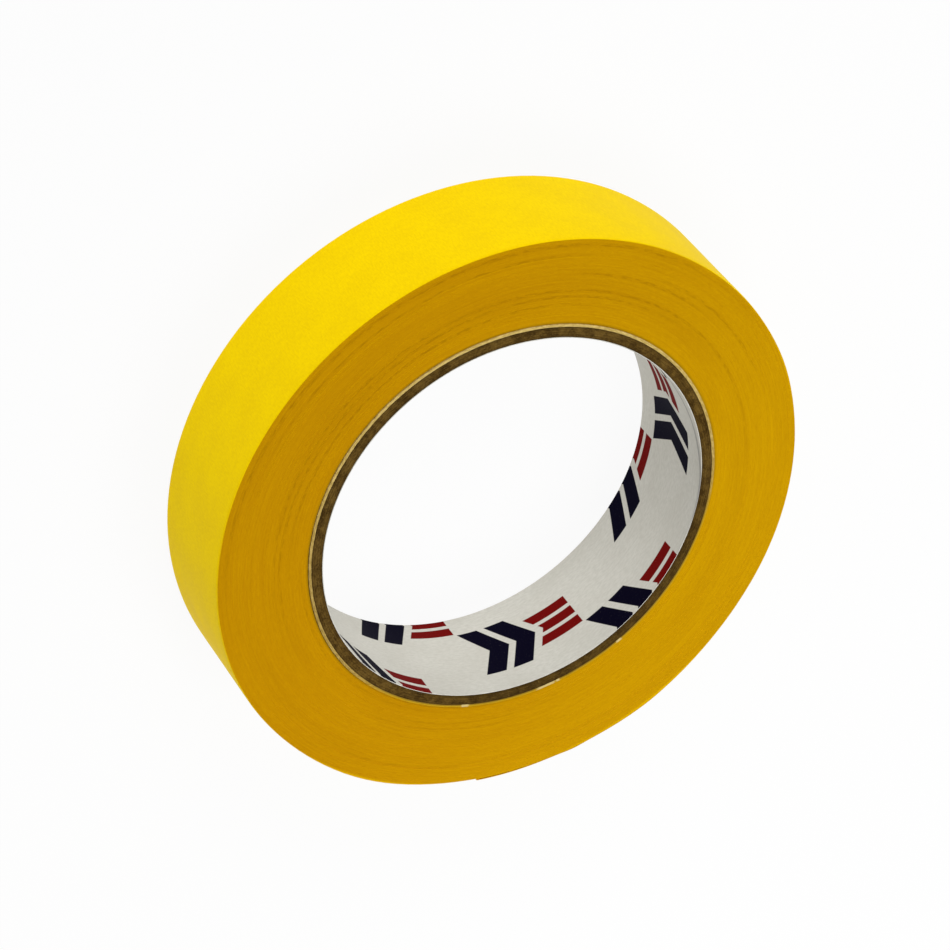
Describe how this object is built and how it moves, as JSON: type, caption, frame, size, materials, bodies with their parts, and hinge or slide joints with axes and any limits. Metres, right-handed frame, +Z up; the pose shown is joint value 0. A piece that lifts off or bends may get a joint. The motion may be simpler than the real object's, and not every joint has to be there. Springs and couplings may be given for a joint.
{
  "type": "masking tape roll",
  "caption": "Roll of yellow paper masking tape wound on a lined chipboard core, with a free end that peels off the outer turn.",
  "frame": {"origin": "centre of the roll's underside, on the roll's axis", "axes": "+Z up along the roll's axis, out of the bore; angles are counter-clockwise from +X"},
  "size_m": [0.1165, 0.1165, 0.0242],
  "materials": {
    "tape_face": "smooth saturated paper, slight sheen",
    "tape_side": "slit edges of the wound turns, matt",
    "free_strip": "smooth saturated paper, adhesive on the inner side",
    "liner_paper": "white printed paper, matt",
    "core_board": "raw cut chipboard, matt",
    "core_cream_ply": "uncoated kraft paper, matt"
  },
  "bodies": {
    "roll": {"core_liner": "liner_paper", "core_board_ply_1": "core_board", "core_board_ply_2": "core_board", "core_board_ply_3": "core_board", "core_board_ply_4": "core_board", "core_outer_ply": "core_cream_ply", "wound_tape": "tape_side", "outer_turn": "tape_face"},
    "free_end_1": {"free_end_1": "free_strip"},
    "free_end_2": {"free_end_2": "free_strip"},
    "free_end_3": {"free_end_3": "free_strip"},
    "free_end_4": {"free_end_4": "free_strip"},
    "free_end_5": {"free_end_5": "free_strip"},
    "free_end_6": {"free_end_6": "free_strip"}
  },
  "joints": [
    {"name": "peel_1", "type": "hinge", "parent": "roll", "child": "free_end_1", "pos_m": [-0.05829, 0.00204, 0.012], "axis": [0, 0, 1], "range_deg": [0, 40]},
    {"name": "peel_2", "type": "hinge", "parent": "free_end_1", "child": "free_end_2", "pos_m": [-0.05775, 0.00828, 0.012], "axis": [0, 0, 1], "range_deg": [0, 14]},
    {"name": "peel_3", "type": "hinge", "parent": "free_end_2", "child": "free_end_3", "pos_m": [-0.05655, 0.01444, 0.012], "axis": [0, 0, 1], "range_deg": [0, 14]},
    {"name": "peel_4", "type": "hinge", "parent": "free_end_3", "child": "free_end_4", "pos_m": [-0.05472, 0.02044, 0.012], "axis": [0, 0, 1], "range_deg": [0, 14]},
    {"name": "peel_5", "type": "hinge", "parent": "free_end_4", "child": "free_end_5", "pos_m": [-0.05227, 0.02621, 0.012], "axis": [0, 0, 1], "range_deg": [0, 14]},
    {"name": "peel_6", "type": "hinge", "parent": "free_end_5", "child": "free_end_6", "pos_m": [-0.04924, 0.0317, 0.012], "axis": [0, 0, 1], "range_deg": [0, 14]}
  ],
  "couplings": [
    {"joint": "peel_2", "follows": "peel_1", "ratio": 0.35},
    {"joint": "peel_3", "follows": "peel_1", "ratio": 0.35},
    {"joint": "peel_4", "follows": "peel_1", "ratio": 0.35},
    {"joint": "peel_5", "follows": "peel_1", "ratio": 0.35},
    {"joint": "peel_6", "follows": "peel_1", "ratio": 0.35}
  ]
}
